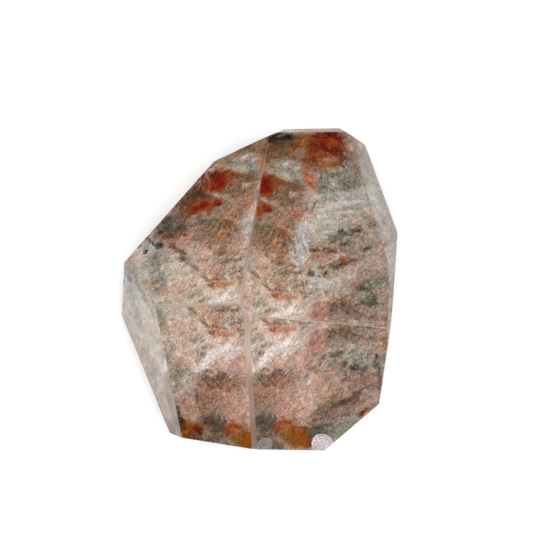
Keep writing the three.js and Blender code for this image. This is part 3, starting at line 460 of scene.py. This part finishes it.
def mineral_colour(x, y):
    """The colour seen at each point of the bed, and how thickly dark, rust and pale specks lie there."""
    ink = {name: np.array(values[:3]) / 255 for name, values in INK.items()}
    thick = {name: np.array(values[3:]) / 100 for name, values in INK.items()}
    # neighbouring patches wander, and tear along the fibres
    along, across = turned(x, y, fibre_lean(x))
    drift_x = x + 0.5 * cloud(x, y, 2.2, 11) + 0.6 * cloud(x, y, 0.8, 12, 3)
    drift_y = y + 0.5 * cloud(x, y, 2.2, 21) + 0.6 * cloud(x, y, 0.8, 22, 3)
    ragged = 0.6 * cloud(x, y, 0.9, 31, 4, 0.75) + 0.6 * cloud(along / 2.0, across, 0.5, 35, 3, 0.8)
    grit = cloud(along / 1.3, across, 0.24, 41, 2, 0.8)
    tone = cloud(x, y, 1.5, 51, 4)[..., None]
    out = ink[GROUND_INK] + np.zeros_like(tone)
    specks = np.zeros_like(out) + thick[GROUND_INK]
    for name, cx, cy, half_length, half_width, turn, *shares in PATCHES:
        strength, edge, broken = [share / 100 for share in shares]
        u, v = turned(drift_x - cx, drift_y - cy, np.radians(turn))
        u, v = u / half_length, v / half_width
        r = np.sqrt(u * u + v * v) - 1.3 * edge * ragged
        depth = np.minimum(1.25 - r, 0.45 - 0.5 * broken)
        cover = step(-0.14, 0.2, depth + (0.3 + 0.7 * broken) * grit) * step(1.4, 0.45, r)
        cover = (cover * strength)[..., None]
        out = out * (1 - cover) + ink[name] * cover
        specks = specks * (1 - cover) + thick[name] * cover
    # strata that rise to the right, mottling, short fibres and grains
    rise, over = turned(drift_x, drift_y, np.radians(STRATA_LEAN))
    strata = cloud(rise / 3.2, over, 0.5, 61, 4, 0.7)
    mottle = cloud(x, y, 1.1, 65, 4, 0.7)
    fibre = cloud(along / 3.2, across, 0.36, 71, 3, 0.8)
    fine = cloud(x, y, 0.3, 75, 2, 0.9)
    out = out * (1 + 0.3 * strata + 0.3 * mottle + 0.36 * fibre + 0.24 * fine)[..., None]
    hue = (cloud(along / 1.4, across, 0.4, 95, 3, 0.8) + 0.5 * cloud(x, y, 1.5, 97, 2))[..., None]
    out = out + hue * np.array([0.09, -0.005, -0.07]) + tone * np.array([0.14, -0.03, -0.05])
    return np.clip(out, 0.02, 1), specks


def albedo(seen):
    """The surface colour that looks like `seen` from outside the crystal."""
    light = np.where(seen <= 0.04045, seen / 12.92, ((seen + 0.055) / 1.055) ** 2.4)
    light = np.maximum(light - VEIL, 0.5 * light)
    return np.clip(light / (LIGHT_OUT + BETWEEN_GRAINS * light), 0.0, 0.95)


# The crystal.


def outline_sides():
    """Each side of the outline as (corner, outward unit normal)."""
    sides = []
    for i, p in enumerate(GIRDLE):
        q = GIRDLE[(i + 1) % len(GIRDLE)]
        dx, dy = q[0] - p[0], q[1] - p[1]
        length = float(np.hypot(dx, dy))
        sides.append((p, (-dy / length, dx / length)))
    return sides


def facing(slope, heading):
    """The unit vector that points straight out of a facet."""
    s, h = np.radians(slope), np.radians(heading)
    return Vector((np.sin(s) * np.cos(h), np.sin(s) * np.sin(h), np.cos(s)))


def cut(bm, point, normal, finish=POLISHED):
    """Grinds a flat: takes off what lies outside the plane and closes the cut."""
    geometry = bm.verts[:] + bm.edges[:] + bm.faces[:]
    plane = {"plane_co": Vector(point) * MM, "plane_no": normal, "clear_outer": True, "dist": 1e-8}
    done = bmesh.ops.bisect_plane(bm, geom=geometry, **plane)
    rim = [e for e in done["geom_cut"] if isinstance(e, bmesh.types.BMEdge)]
    if rim:
        for face in bmesh.ops.contextual_create(bm, geom=rim)["faces"]:
            face.material_index = finish


def wear_ridge(bm, first, second, near, width, far_width, flats):
    """Rounds the ridge between two facets by narrow flats, from the point of it that is near `near`."""
    a, b = facing(*first[:2]), facing(*second[:2])
    along = a.cross(b).normalized()
    if along.z > 0:
        along = -along
    distances = (a.dot(Vector(first[2])), b.dot(Vector(second[2])), along.dot(Vector(near)))
    start = Matrix((a, b, along)).inverted() @ Vector(distances)
    half = a.angle(b) / 2
    middle = (a + b).normalized()
    for k in range(flats):
        n = a.slerp(b, (k + 0.5) / flats)
        sink = n.dot(middle) / np.cos(half) - 1
        deep, far_deep = [w / (2 * np.tan(half)) * sink for w in (width, far_width)]
        n = (n + along * ((far_deep - deep) / WORN_LENGTH)).normalized()
        cut(bm, start - n * deep, n, WORN)


def new_object(name, data):
    made = bpy.data.objects.new(name, data)
    bpy.context.collection.objects.link(made)
    return made


def make_crystal():
    """The blank prism, cut by its facets and its foot, with softened edges and worn ridges."""
    bm = bmesh.new()
    low = [bm.verts.new((x * MM, y * MM, 0)) for x, y in GIRDLE]
    high = [bm.verts.new((x * MM, y * MM, BLANK_HEIGHT * MM)) for x, y in GIRDLE]
    bm.faces.new(low)
    bm.faces.new(high)
    for i in range(len(GIRDLE)):
        j = (i + 1) % len(GIRDLE)
        bm.faces.new((low[i], low[j], high[j], high[i]))
    for slope, heading, point in FACETS:
        cut(bm, point, facing(slope, heading), GROUND if slope > BEVEL_SLOPE else POLISHED)
    for slope, heading, point in LOWER_RIDGE_FLATS:
        cut(bm, point, facing(slope, heading), WORN)
    for (x, y), (nx, ny) in outline_sides():
        cut(bm, (x, y, FOOT_BEVEL_HEIGHT), Vector((nx, ny, -1)).normalized())
    sharp = [e for e in bm.edges if e.calc_length() > SHORTEST_ROUNDED_EDGE * MM]
    bmesh.ops.recalc_face_normals(bm, faces=bm.faces)
    rounding = {"offset": EDGE_ROUND * MM, "segments": 2, "profile": 0.5, "clamp_overlap": True}
    bmesh.ops.bevel(bm, geom=sharp, affect="EDGES", **rounding)
    for ridge in WORN_RIDGES:
        wear_ridge(bm, *ridge)
    bmesh.ops.recalc_face_normals(bm, faces=bm.faces)
    mesh = bpy.data.meshes.new("clear_quartz")
    bm.to_mesh(mesh)
    bm.free()
    return new_object("clear_quartz", mesh)


# The mineral bed.


def rim_reach(angle):
    """How far the bed reaches from its centre at each angle."""
    reach = np.full(angle.shape, 1e9)
    for (x, y), (nx, ny) in outline_sides():
        towards = nx * np.cos(angle) + ny * np.sin(angle)
        distance = nx * (x - BED_CENTRE[0]) + ny * (y - BED_CENTRE[1]) - BED_INSET
        reach = np.where(towards > 1e-6, np.minimum(reach, distance / np.maximum(towards, 1e-6)), reach)
    return reach


def bed_place(r, angle, gap=0.0):
    """x, y and the rim's reach at each share r of the way from the bed's centre to its rim."""
    reach = rim_reach(angle) - gap
    x = BED_CENTRE[0] + r * reach * np.cos(angle)
    return x, BED_CENTRE[1] + r * reach * np.sin(angle), reach


def bed_surface(x, y):
    """Height of the bed's upper surface with its lumps and grains."""
    height = BED_TOP + BED_RISE * y
    for cx, cy, swell, reach in SWELLS:
        height = height + swell * np.exp(-0.5 * ((x - cx) ** 2 + (y - cy) ** 2) / reach**2)
    return height + 0.6 * cloud(x, y, 1.6, 101, 3) + 0.3 * cloud(x, y, 0.42, 105, 3, 0.7)


def make_mesh(name, points, faces, colours=None, specks=None):
    """A piece from points in millimetres, with its mineral colours and specks if it has them."""
    mesh = bpy.data.meshes.new(name)
    mesh.from_pydata([tuple(p) for p in np.asarray(points) * MM], [], faces)
    for layer_name, values in (("mineral", colours), ("specks", specks)):
        if values is not None:
            layer = mesh.color_attributes.new(layer_name, "FLOAT_COLOR", "POINT")
            layer.data.foreach_set("color", np.column_stack([values, np.ones(len(values))]).ravel())
    mesh.update()
    return new_object(name, mesh)


def disc_grid(cells):
    """A square grid wrapped onto a disc of radius 1: each point's distance from the centre and angle."""
    a, b = np.meshgrid(np.linspace(-1, 1, cells + 1), np.linspace(-1, 1, cells + 1))
    flat = np.abs(a) > np.abs(b)
    radius = np.where(flat, a, b)
    with np.errstate(divide="ignore", invalid="ignore"):
        turn = np.where(flat, (np.pi / 4) * b / a, np.pi / 2 - (np.pi / 4) * a / b)
    turn = np.nan_to_num(turn)
    dx, dy = radius * np.cos(turn), radius * np.sin(turn)
    return np.hypot(dx, dy), np.arctan2(dy, dx)


def make_bed():
    """The bed: its lumpy top, a rim that draws in on its way down, and a flat floor."""
    n = BED_CELLS
    r, angle = [grid.ravel() for grid in disc_grid(n)]
    x, y, _ = bed_place(r, angle)
    z = bed_surface(x, y)
    index = np.arange((n + 1) ** 2).reshape(n + 1, n + 1)
    quads = np.stack([index[:-1, :-1], index[:-1, 1:], index[1:, 1:], index[1:, :-1]], -1).reshape(-1, 4)
    rim = np.concatenate([index[0, :-1], index[:-1, -1], index[-1, :0:-1], index[:0:-1, 0]])
    points = [np.column_stack([x, y, z])]
    faces = quads.tolist()
    outward = angle[rim]
    following = np.roll(np.arange(len(rim)), -1)
    above = rim
    for k in range(1, BED_RIM_ROWS + 1):
        t = k / BED_RIM_ROWS
        drop = z[rim] * (1 - t) + BED_FLOOR * t
        inward = BED_UNDERCUT * t**3 * (1 + cloud(x[rim] + 3 * t, y[rim], 0.8, 111, 3))
        inward = inward + 0.12 * cloud(x[rim], y[rim] + 9 * t, 0.5, 115, 2)
        row = [x[rim] - inward * np.cos(outward), y[rim] - inward * np.sin(outward), drop]
        points.append(np.column_stack(row))
        below = len(x) + (k - 1) * len(rim) + np.arange(len(rim))
        faces += np.stack([above, below, below[following], above[following]], -1).tolist()
        above = below
    faces.append(above[::-1].tolist())
    points = np.concatenate(points)
    slant = PAINT_SLANT * (points[:, 2] - PAINTED_AT)
    colours, specks = mineral_colour(points[:, 0] + slant, points[:, 1])
    return make_mesh("mineral_bed", points, faces, albedo(colours), specks)


# Loose grains, fibres, the feather and the ring fractures.


def loose_crystals(name, rng, centres, sizes, spins, inks):
    """Many small eight-sided crystals in one mesh."""
    n = len(centres)
    corners = np.array([(1, 0, 0), (0, 1, 0), (-1, 0, 0), (0, -1, 0), (0, 0, 1), (0, 0, -1)], float)
    corners = corners[None] * (sizes / 2)[:, None] * rng.uniform(0.7, 1.3, (n, 6, 1))
    for (i, j), amount in zip([(0, 1), (1, 2), (0, 1)], spins):
        c, s = np.cos(amount)[:, None], np.sin(amount)[:, None]
        p, q = corners[..., i].copy(), corners[..., j].copy()
        corners[..., i], corners[..., j] = c * p - s * q, s * p + c * q
    points = corners + centres[:, None]
    around = [(k, (k + 1) % 4) for k in range(4)]
    faces = np.array([(p, q, 4) for p, q in around] + [(q, p, 5) for p, q in around])
    faces = (faces[None] + 6 * np.arange(n)[:, None, None]).reshape(-1, 3)
    colours = np.clip(np.repeat(inks, 6, 0), 0, 0.9)
    return make_mesh(name, points.reshape(-1, 3), faces.tolist(), colours, np.zeros_like(colours))


def some_of(looks, rng, n):
    """A surface colour for each of n crystals, picked from the colours that they may look like."""
    return albedo(np.array(looks, float) / 255)[rng.integers(0, len(looks), n)]


def scatter(name, tries, seed, family, width, length, flatness, lift, looks):
    """Small loose crystals on and just above the bed, thickest where their family's specks are."""
    rng = np.random.default_rng(seed)
    angle = rng.uniform(-np.pi, np.pi, tries)
    r = np.sqrt(rng.uniform(0, 1, tries))
    x, y, reach = bed_place(r, angle, gap=0.1)
    around, thick = mineral_colour(x, y)
    clump = 0.3 + 1.4 * step(-0.1, 0.25, cloud(x, y, 0.9, seed + 1, 2))
    # the last factor evens out the directions in which the bed is wide and narrow
    chance = thick[:, family] ** 1.6 * clump * (reach**2 / BED_FARTHEST_RIM**2)
    keep = np.flatnonzero(rng.uniform(0, 0.3, tries) < chance)
    x, y, n = x[keep], y[keep], len(keep)
    span = width * rng.lognormal(0, 0.4, n)
    lengths, widths = length * rng.uniform(0.7, 1.3, n), rng.uniform(0.5, 1.0, n)
    shape = np.column_stack([lengths, widths, np.full(n, flatness)])
    if length > 2:
        turn = fibre_lean(x) + rng.normal(0, 0.35, n)
        tip, roll = rng.normal(0, 0.2, n), np.zeros(n)
    else:
        turn, tip, roll = rng.uniform(0, 2 * np.pi, n), rng.normal(0, 0.6, n), rng.uniform(0, 2 * np.pi, n)
    z = bed_surface(x, y) + 0.3 * span + lift * rng.exponential(1.0, n)
    z = np.minimum(z, bed_surface(x, y) + 1.6)
    inks = 0.45 * some_of(looks, rng, n) + 0.55 * albedo(around[keep])
    inks = inks * rng.uniform(0.75, 1.25, (n, 1))
    centres = np.column_stack([x, y, z])
    return loose_crystals(name, rng, centres, shape * span[:, None], (roll, tip, turn), inks)


def make_feather():
    """A veil of short pale threads that hangs under the upper right facet, well above the bed."""
    rng = np.random.default_rng(23)
    along = rng.beta(1.0, 1.35, FEATHER_THREADS * 4)
    spine = np.array(FEATHER_SPINE)
    knots = np.linspace(0, 1, len(spine))
    half = np.interp(along, [0, 0.12, 0.5, 1], [0.8, 1.15, 0.9, 0.5])
    x = np.interp(along, knots, spine[:, 0]) + half * rng.normal(0, 0.5, len(along))
    y = np.interp(along, knots, spine[:, 1])
    clump = cloud(x, y / 1.6, 0.5, 141, 3, 0.8)
    keep = np.flatnonzero(clump > rng.normal(0.01, 0.05, len(x)))[:FEATHER_THREADS]
    n = len(keep)
    centres = np.column_stack([x[keep], y[keep], spine[0, 2] + rng.normal(0, 0.25, n)])
    span = FEATHER_WIDTH * rng.lognormal(0, 0.35, n)
    shape = np.column_stack([rng.uniform(1.5, 4.5, n), rng.uniform(0.6, 1.0, n), np.full(n, 0.6)])
    turn = np.radians(FEATHER_TURN) + rng.normal(0, 0.45, n)
    inks = some_of(FEATHER_COLOURS, rng, n)
    spins = (np.zeros(n), rng.normal(0, 0.2, n), turn)
    return loose_crystals("feather", rng, centres, shape * span[:, None], spins, inks)


def make_ring_fracture(name, cx, cy, radius, colour, bright_side):
    """A thin shell-like fracture under the facet: a shallow dome with a few uneven ripples."""
    rings, spokes = 28, 72
    r, angle = np.meshgrid(np.linspace(0.03, 1, rings), np.linspace(0, 2 * np.pi, spokes, endpoint=False))
    r, angle = r.T.ravel(), angle.T.ravel()
    edge = 1 + 0.03 * np.sin(3 * angle + cx) + 0.015 * np.sin(7 * angle)
    x, y = cx + radius * r * edge * np.cos(angle), cy + radius * r * edge * np.sin(angle)
    for (sx, sy), (nx, ny) in outline_sides():
        over = np.maximum((x - sx) * nx + (y - sy) * ny + RING_WALL_GAP, 0)
        x, y = x - over * nx, y - over * ny
    normal = facing(*LOWER_RIGHT[:2])
    px, py, pz = LOWER_RIGHT[2]
    facet = pz - (normal.x * (x - px) + normal.y * (y - py)) / normal.z
    top = np.column_stack([x, y, facet - RING_DEPTH - 0.25 * r**2 + 0.02 * np.sin(r * 15)])
    bottom = top - np.array([0, 0, RING_THICKNESS])
    index = np.arange(rings * spokes).reshape(rings, spokes)
    side = np.roll(index, -1, 1)
    quads = np.stack([index[:-1], index[1:], side[1:], side[:-1]], -1).reshape(-1, 4)
    under = quads[:, ::-1] + len(top)
    outer = np.stack([index[-1], index[-1] + len(top), side[-1] + len(top), side[-1]], -1)
    inner = np.stack([side[0], side[0] + len(top), index[0] + len(top), index[0]], -1)
    faces = quads.tolist() + under.tolist() + outer.tolist() + inner.tolist()
    mist = cloud(x, y, 0.7, 131, 3) + 0.6 * cloud(x, y, 0.2, 133, 2)
    iridescence_shown = step(-0.5, 0.6, np.cos(angle - np.radians(bright_side))) * step(0.4, 0.62, r)
    # the rings are painted iridescent reflection, with red, green and blue a little apart, on the bright
    # side only
    band = 4.6 * r + 0.3 * mist
    painted_iridescence = np.cos(2 * np.pi * (band[:, None] - np.array([0.0, 0.1, 0.22])))
    colours = np.array(colour) * (1 + 0.3 * mist[:, None]) + 0.26 * painted_iridescence * iridescence_shown[:, None]
    colours = np.clip(np.concatenate([colours, colours]), 0.05, 0.97)
    return make_mesh(name, np.concatenate([top, bottom]), faces, albedo(colours), np.zeros_like(colours))


# Materials.


def add_node(tree, kind, inputs=None, **settings):
    """A new node: its inputs by name or number, each a value or the output that feeds it."""
    made = tree.nodes.new("ShaderNode" + kind)
    for key, setting in settings.items():
        setattr(made, key, setting)
    for key, source in (inputs or {}).items():
        if isinstance(source, bpy.types.NodeSocket):
            tree.links.new(source, made.inputs[key])
        else:
            made.inputs[key].default_value = source
    return made


def new_material(name, values):
    """A material, and its shader with these values."""
    material = bpy.data.materials.new(name)
    material.use_nodes = True
    shader = material.node_tree.nodes["Principled BSDF"]
    for key, value in values.items():
        shader.inputs[key].default_value = value
    return material, shader


def quartz_material(name, colour, roughness):
    """Quartz that light passes through, as clear and as smooth as its finish leaves it; the ground
    finish's grey is painted shade.
    """
    clear = {"Transmission Weight": 1.0, "IOR": QUARTZ_IOR}
    return new_material(name, {"Base Color": (*colour, 1), "Roughness": roughness, **clear})[0]


def mineral_material(name, roughness):
    """Painted mineral grains: the painting, broken up by specks of dark, rust and pale crystals."""
    material, shader = new_material(name, {"Roughness": roughness, "Specular IOR Level": 0.0})
    tree = material.node_tree

    def node(kind, inputs=None, **settings):
        return add_node(tree, kind, inputs, **settings)

    def calc(operation, a, b, clamp=False):
        return node("Math", {0: a, 1: b}, operation=operation, use_clamp=clamp).outputs[0]

    def mix(factor, a, b, blend="MIX"):
        return node("Mix", {0: factor, 6: a, 7: b}, data_type="RGBA", blend_type=blend).outputs[2]

    def noise(place, scale, detail, rough):
        inputs = {"Vector": place, "Scale": scale, "Detail": detail, "Roughness": rough}
        return node("TexNoise", inputs).outputs

    # places in millimetres, pushed about a little and drawn out along the fibres
    metres = node("TexCoord").outputs["Object"]
    place = node("VectorMath", {0: metres, "Scale": 1000.0}, operation="SCALE").outputs[0]
    drift = noise(place, 1.3, 3.0, 0.6)["Color"]
    push = {0: drift, 1: (0.8, 0.8, 0.8), 2: place}
    pushed = node("VectorMath", push, operation="MULTIPLY_ADD").outputs[0]
    layout = {"Vector": pushed, "Rotation": (0.0, 0.0, 0.7), "Scale": (1.6, 1.0, 1.0)}
    drawn = node("Mapping", layout, vector_type="TEXTURE").outputs[0]

    def cells(scale):
        """Three random values that stay the same all over each small crystal."""
        found = node("TexVoronoi", {"Vector": drawn, "Scale": scale, "Randomness": 1.0}).outputs["Color"]
        return node("SeparateColor", {0: found}).outputs

    large, small = cells(4.6), cells(8.5)
    colour = node("Attribute", attribute_name="mineral").outputs["Color"]
    thickness = node("Attribute", attribute_name="specks").outputs["Color"]
    amount = node("SeparateColor", {0: thickness}).outputs

    def speck(family, level):
        """How much a speck of this family covers, in both sizes of cell."""
        covers = []
        for cell in (large, small):
            total = calc("ADD", cell[family], amount[family])
            covers.append(calc("MULTIPLY", calc("SUBTRACT", total, 1.0), 7.0, clamp=True))
        return calc("MULTIPLY", calc("MAXIMUM", covers[0], calc("MULTIPLY", covers[1], 0.8)), level)

    shade = mix(speck(0, 0.7), (1, 1, 1, 1), (0.25, 0.25, 0.21, 1))
    colour = mix(1.0, colour, shade, "MULTIPLY")
    colour = mix(speck(1, 0.5), colour, (0.36, 0.085, 0.025, 1))
    colour = mix(speck(2, 0.35), colour, (0.72, 0.64, 0.58, 1))

    # each crystal a little warmer or cooler than the next; painted glints and shade make it brighter or
    # darker
    tint = noise(drawn, 3.4, 4.0, 0.8)["Fac"]
    warm = node("MapRange", {"Value": tint, "From Min": 0.3, "From Max": 0.7}).outputs[0]
    warm = calc("MULTIPLY", calc("ADD", warm, small[2]), 0.5)
    hue = mix(warm, (0.78, 1.07, 1.14, 1), (1.26, 0.92, 0.84, 1))
    colour = mix(1.0, colour, hue, "MULTIPLY")
    sugar = noise(place, 5.5, 5.0, 0.75)["Fac"]
    gain = calc("ADD", calc("MULTIPLY", calc("SUBTRACT", sugar, 0.5), 1.2), 1.0)
    # painted glint and shade: each crystal lighter or darker as if its faces caught more or less light
    painted_glint = calc("ADD", calc("MULTIPLY", large[2], 0.24), calc("MULTIPLY", small[1], 0.56))
    gain = calc("MULTIPLY", gain, calc("ADD", painted_glint, 0.6))
    bright = node("VectorMath", {0: colour, "Scale": gain}, operation="SCALE").outputs[0]
    bump = node("Bump", {"Height": sugar, "Strength": 0.35, "Distance": 0.00006}).outputs[0]
    tree.links.new(bright, shader.inputs["Base Color"])
    tree.links.new(bump, shader.inputs["Normal"])
    return material


# Pieces.

crystal = make_crystal()
for finish in FINISHES:
    crystal.data.materials.append(quartz_material(*finish))
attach(crystal, "root")
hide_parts("quartz_upper", "quartz_lower")

minerals = mineral_material("garden_minerals", 0.7)
bed = make_bed()
bed.data.materials.append(minerals)
bed.data.shade_smooth()
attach(bed, "root")
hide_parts("inclusion_bed")

# Loose crystals: name, places tried, seed, family of specks, mean width, then length and thickness as
# shares of the width, mean height above the bed, and the colours that they look like.
DARK, RUST, PALE = 0, 1, 2
GREENS = [(60, 62, 52), (78, 80, 64), (48, 44, 40), (96, 88, 70)]
REDS = [(150, 58, 24), (176, 92, 58), (112, 34, 12), (190, 120, 92)]
WHITES = [(226, 214, 206), (214, 196, 182), (206, 192, 176)]
CREAMS = [(222, 208, 198), (206, 184, 170), (198, 186, 170)]
BROWNS = [(92, 80, 66), (110, 84, 66), (84, 82, 70)]
GRAINS = [
    ("chlorite_grains", 72000, 3, DARK, 0.14, 1.0, 0.5, 0.1, GREENS),
    ("rust_flakes", 64000, 5, RUST, 0.13, 1.0, 0.35, 0.1, REDS),
    ("pale_grains", 56000, 7, PALE, 0.12, 1.0, 0.5, 0.1, WHITES),
    ("pale_fibres", 72000, 9, PALE, 0.075, 4.5, 0.5, 0.12, CREAMS),
    ("dark_fibres", 64000, 13, DARK, 0.07, 4.0, 0.5, 0.12, BROWNS),
]
for grain in GRAINS:
    grains = scatter(*grain)
    grains.data.materials.append(minerals)
    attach(grains, "root")

feather = make_feather()
feather.data.materials.append(minerals)
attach(feather, "root")

ring_material = mineral_material("ring_fracture", 0.25)
for i, ring in enumerate(RING_FRACTURES):
    fracture = make_ring_fracture(f"ring_fracture_{i + 1}", *ring)
    fracture.data.materials.append(ring_material)
    fracture.data.shade_smooth()
    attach(fracture, "root")

# Floor, light and camera.

corners = [(-1, -1), (1, -1), (1, 1), (-1, 1)]
corners = [(FLOOR_HALF * x, FLOOR_HALF * y, -FLOOR_GAP) for x, y in corners]
floor = make_mesh("floor", corners, [(0, 1, 2, 3)])
pale = {"Base Color": (0.72, 0.72, 0.72, 1), "Roughness": 0.9, "Specular IOR Level": 0.1}
floor.data.materials.append(new_material("pale_floor", pale)[0])

world = bpy.data.worlds.new("studio")
bpy.context.scene.world = world
world.use_nodes = True
sky = world.node_tree
towards = add_node(sky, "TexCoord").outputs["Generated"]
height = add_node(sky, "SeparateXYZ", {0: towards}).outputs["Z"]
levels = add_node(sky, "ValToRGB", {"Fac": height})
while len(levels.color_ramp.elements) < len(SKY):
    levels.color_ramp.elements.new(0.5)
for element, (position, level) in zip(levels.color_ramp.elements, SKY):
    element.position = position
    element.color = (level, level, level, 1)
brightness = add_node(sky, "MapRange", {"Value": height, **OVERHEAD})
sky.links.new(levels.outputs["Color"], sky.nodes["Background"].inputs["Color"])
sky.links.new(brightness.outputs["Result"], sky.nodes["Background"].inputs["Strength"])

for name, heading, elevation, distance, size, power in LAMPS:
    direction = facing(90 - elevation, heading)
    lamp = bpy.data.lights.new(name, "AREA")
    lamp.shape = "SQUARE"
    lamp.size = size
    lamp.energy = power
    light = new_object(name, lamp)
    light.location = direction * distance
    light.rotation_euler = (-direction).to_track_quat("-Z", "Y").to_euler()

camera_data = bpy.data.cameras.new("camera")
camera_data.sensor_width = CAMERA_SENSOR
camera_data.lens = CAMERA_LENS
camera_data.clip_start = 0.01
camera = new_object("camera", camera_data)
camera.location = Vector(CAMERA_PLACE) * MM
bpy.context.scene.camera = camera

bpy.context.scene.view_settings.view_transform = "Standard"
